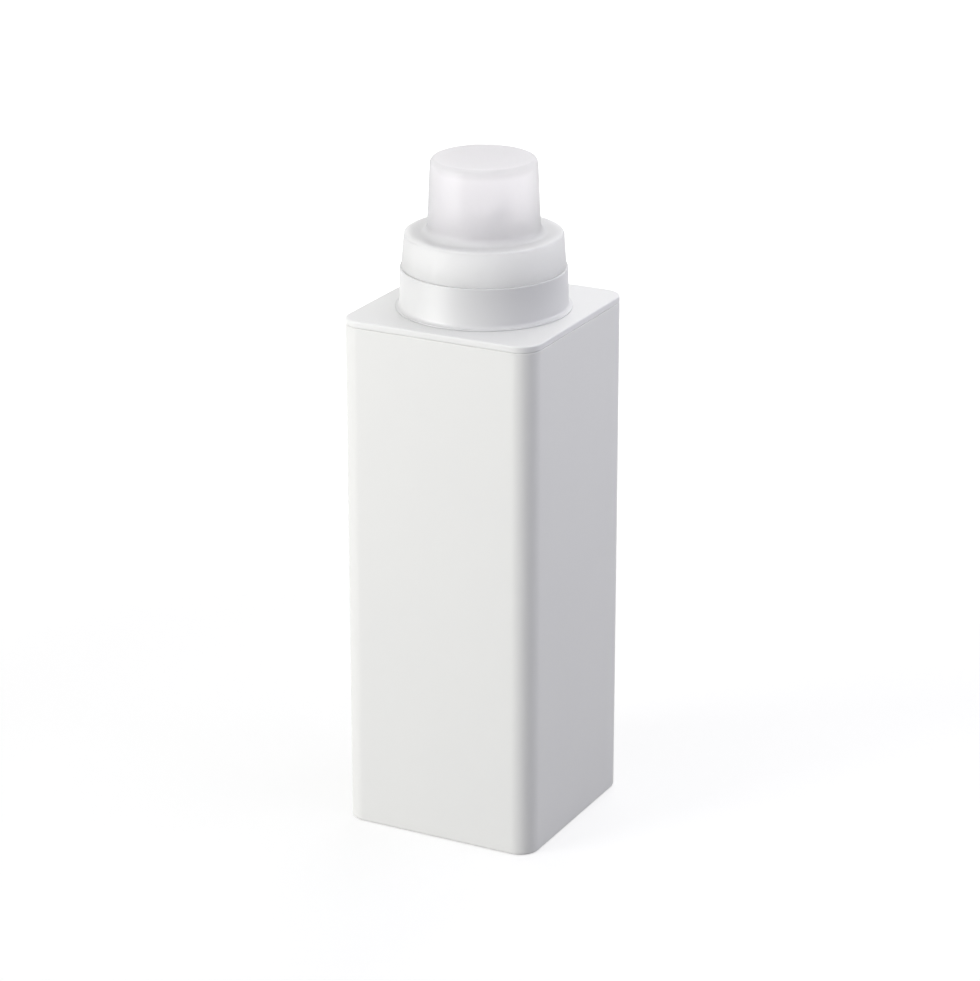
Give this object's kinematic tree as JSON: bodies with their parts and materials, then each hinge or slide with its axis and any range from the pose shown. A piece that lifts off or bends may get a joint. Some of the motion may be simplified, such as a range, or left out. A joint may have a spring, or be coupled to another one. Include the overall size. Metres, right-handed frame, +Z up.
{
  "type": "refillable detergent bottle",
  "caption": "Square upright refill bottle with a flat lift-off lid, a screwed collar holding a drain-back pouring spout, and a translucent stepped measuring cap.",
  "frame": {"origin": "centre of the base, on the ground", "axes": "+Z up along the cap's axis, +X the side the spout pours towards, -Y the broad front face"},
  "size_m": [0.075, 0.075, 0.2434],
  "materials": {
    "body_white": "fine matte moulded ABS",
    "lid_white": "fine matte moulded ABS",
    "silicone": "translucent moulded silicone",
    "collar_white": "satin moulded polypropylene",
    "spout_natural": "natural low-density polyethylene",
    "cap_frosted": "frosted translucent polypropylene"
  },
  "bodies": {
    "bottle": {"bottle_body": "body_white"},
    "lid": {"top_lid": "lid_white", "lid_gasket": "silicone"},
    "spout_unit": {"spout_collar": "collar_white", "pouring_spout": "spout_natural", "spout_seal": "silicone"},
    "cap": {"measuring_cap": "cap_frosted"}
  },
  "joints": [
    {"name": "lid_lift", "type": "slide", "parent": "bottle", "child": "lid", "axis": [0, 0, 1], "range_m": [0, 0.06]},
    {"name": "spout_turn", "type": "hinge", "parent": "lid", "child": "spout_unit", "pos_m": [0, 0, 0.19], "axis": [0, 0, 1], "range_deg": [0, 450]},
    {"name": "cap_lift", "type": "slide", "parent": "spout_unit", "child": "cap", "axis": [0, 0, 1], "range_m": [0, 0.06]}
  ]
}
